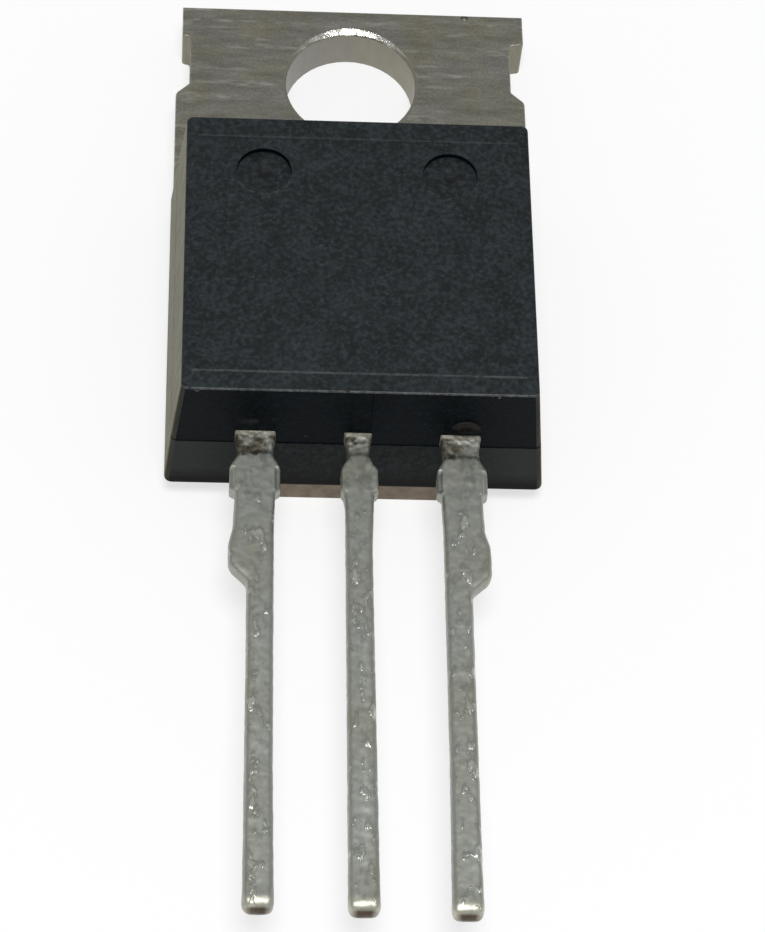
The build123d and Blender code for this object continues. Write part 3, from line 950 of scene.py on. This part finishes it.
for mark_x, mark_y in pin_marks:
    floor_z = body_high.z - pin_mark_depth
    bpy.ops.mesh.primitive_cylinder_add(
        vertices=72,
        radius=pin_mark_radius,
        depth=pin_mark_depth - flare_start,
        location=(mark_x, mark_y, floor_z + pin_mark_depth / 2 - flare_start / 2),
    )
    pin = start_piece("ejector_pin")
    bpy.ops.object.mode_set(mode="EDIT")
    select_faces(pin, lambda face: face.normal.z > 0.9)
    bpy.ops.mesh.extrude_region_move(TRANSFORM_OT_translate={"value": (0, 0, flare_height)})
    bpy.ops.transform.resize(value=(flare_ratio, flare_ratio, 1))
    bpy.ops.mesh.extrude_region_move(TRANSFORM_OT_translate={"value": (0, 0, 0.2)})
    bpy.ops.object.mode_set(mode="OBJECT")
    combine(body, pin)
    bpy.ops.mesh.primitive_uv_sphere_add(
        segments=48,
        ring_count=32,
        radius=dimple_radius,
        location=(mark_x, mark_y, floor_z + dimple_radius - dimple_depth),
    )
    combine(body, start_piece("pin_dimple"))
print(len(pin_marks), "ejector marks cut")

# %% [markdown]
# Resin entered through a gate above the middle lead.  The runner was snapped off there, which left a
# ragged shallow channel.  A cube is subdivided, its points are shaken, and the result is cut out.
# Small chips along the rim are cut with rough little stones.  Above the emitter lead a bubble swelled
# in the resin: a flattened sphere, with its lower part cut away, is welded on.

# %% Moulding: gate scar, chips and blister
gate_x = 0.05
gate_width = 0.58
gate_foot_z = 2.68
gate_top_z = 4.24
gate_seat_z = 3.5
gate_depth = 0.03
gate_roughness = 0.01
chip_places = (
    # x, y, z, radius
    (-4.42, -12.51, 4.32, 0.050),
    (-4.24, -12.54, 4.26, 0.075),
    (3.44, -12.53, 4.31, 0.060),
    (3.60, -12.55, 4.24, 0.055),
    (-0.345, -12.48, 4.34, 0.055),
    (0.07, -12.47, 4.34, 0.045),
    (-1.35, -12.71, 2.47, 0.040),
    (4.60, -9.20, 4.33, 0.040),
    (-4.62, -7.10, 4.32, 0.035),
)
blister_x = 2.84
blister_z = 2.72
blister_seat_z = 2.8
blister_sink = 0.02
blister_radii = (0.45, 0.12, 0.52)
foot_cube_size = 1.2
wall_lean = (top[2] - above_parting[2]) / (body_high.z - parting_z)


def wall_y(z):
    """Where the lead-end wall stands at height z, above the parting line."""
    return above_parting[2] + (z - parting_z) * wall_lean


gate_height = gate_top_z - gate_foot_z
gate_wall_y = wall_y(gate_seat_z)
bpy.ops.mesh.primitive_cube_add(size=1, location=(gate_x, gate_wall_y, gate_foot_z + gate_height / 2))
gate = start_piece("gate_tool")
gate.scale = (gate_width, 2 * gate_depth, gate_height)
bpy.ops.object.transform_apply(location=True, rotation=False, scale=True)
bpy.ops.object.mode_set(mode="EDIT")
bpy.ops.mesh.select_all(action="SELECT")
bpy.ops.mesh.subdivide(number_cuts=3)
bpy.ops.transform.vertex_random(offset=gate_roughness, seed=4)
bpy.ops.object.mode_set(mode="OBJECT")
for vertex in gate.data.vertices:
    vertex.co.y += wall_y(vertex.co.z) - gate_wall_y
gate.data.materials.append(upper_end)
combine(body, gate)

for number, (x, y, z, radius) in enumerate(chip_places):
    bpy.ops.mesh.primitive_ico_sphere_add(subdivisions=2, radius=radius, location=(x, y, z))
    stone = start_piece("chip_tool")
    bpy.ops.object.mode_set(mode="EDIT")
    bpy.ops.mesh.select_all(action="SELECT")
    bpy.ops.transform.vertex_random(offset=radius * 0.4, seed=number)
    bpy.ops.object.mode_set(mode="OBJECT")
    stone.data.materials.append(broken)
    combine(body, stone)

blister_wall_y = wall_y(blister_seat_z)
bpy.ops.mesh.primitive_uv_sphere_add(
    segments=40,
    ring_count=24,
    radius=1,
    location=(blister_x, blister_wall_y + blister_sink, blister_z),
)
blister = start_piece("resin_blister")
blister.scale = blister_radii
blister.data.materials.append(blister_skin)
bpy.ops.mesh.primitive_cube_add(
    size=foot_cube_size, location=(blister_x, blister_wall_y, blister_foot_z - foot_cube_size / 2)
)
foot_tool = start_piece("blister_foot_tool")
foot_tool.data.materials.append(blister_skin)
combine(blister, foot_tool)
combine(body, blister, "UNION")
print("gate scar,", len(chip_places), "chips and a blister made")

# %% [markdown]
# Below the tab's top face the moulding starts at the tab's shoulder, so that corner is cut away.  Then
# every face gets the finish of its part of the mould.

# %% Moulding: seat for the tab, finishes
tab_shoulder_y = -3.85
seat_width = 12  # wider than the moulding, so the cut goes right through
seat_length = 1
# y below which the rim gets the painted rim highlight
rim_highlight_end_y = -12.3
rim_reach_z = 0.2
side_wall_x = 4.4
seat_middle = (0, tab_shoulder_y + seat_length / 2, sheet_thickness / 2)
bpy.ops.mesh.primitive_cube_add(size=1, location=seat_middle)
seat = start_piece("tab_seat_tool")
seat.scale = (seat_width, seat_length, sheet_thickness)
combine(body, seat)
for face in body.data.polygons:
    if body.data.materials[face.material_index] in (broken, blister_skin):
        continue
    middle, normal = face.center, face.normal
    high = middle.z > body_high.z - rim_reach_z
    # the near rim takes the finish with the painted highlight
    if high and middle.y < rim_highlight_end_y and 0.2 < normal.z < 0.97 and normal.y < -0.2:
        finish = glossy_rim_highlight
    elif high and normal.z > 0.5:
        finish = marked_face
    elif abs(middle.x) > side_wall_x and abs(normal.x) > 0.35 or normal.y > 0.9:
        finish = side_wall
    elif middle.z > parting_z - 0.001:
        finish = upper_end
    else:
        finish = lower_end
    face.material_index = body_finishes.index(finish)
set_in_frame(body, "moulded_body", angle=30)

# %% [markdown]
# Inside the resin are the silicon chip, its solder and two bond wires.  Nobody sees them, but
# their CAD solids are right, so they stay and only get their own finishes.

# %% Chip, solder and bond wires
def hidden_finish(name, dark, light, scale, metallic, roughness):
    recipe = Recipe(name)
    pattern = recipe.noise(scale, detail=3)
    recipe.put("Base Color", recipe.ramp(pattern, (0.3, dark), (0.7, light)))
    recipe.set(Metallic=metallic, Roughness=roughness)
    recipe.put("Normal", recipe.bump(pattern, 0.004))
    return recipe.material


silicon = hidden_finish("silicon", (0.04, 0.04, 0.05), (0.09, 0.09, 0.12), 4, 0.4, 0.25)
soft_solder = hidden_finish("soft_solder", (0.38, 0.38, 0.37), (0.55, 0.55, 0.53), 6, 0.9, 0.4)
aluminium = hidden_finish("bond_aluminium", (0.62, 0.62, 0.62), (0.75, 0.75, 0.75), 12, 1.0, 0.3)
for node, material in (
    ("silicon_die", silicon),
    ("die_solder", soft_solder),
    ("base_wire", aluminium),
    ("emitter_wire", aluminium),
):
    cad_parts[node].data.materials.clear()
    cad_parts[node].data.materials.append(material)
    print(node, "is", material.name)
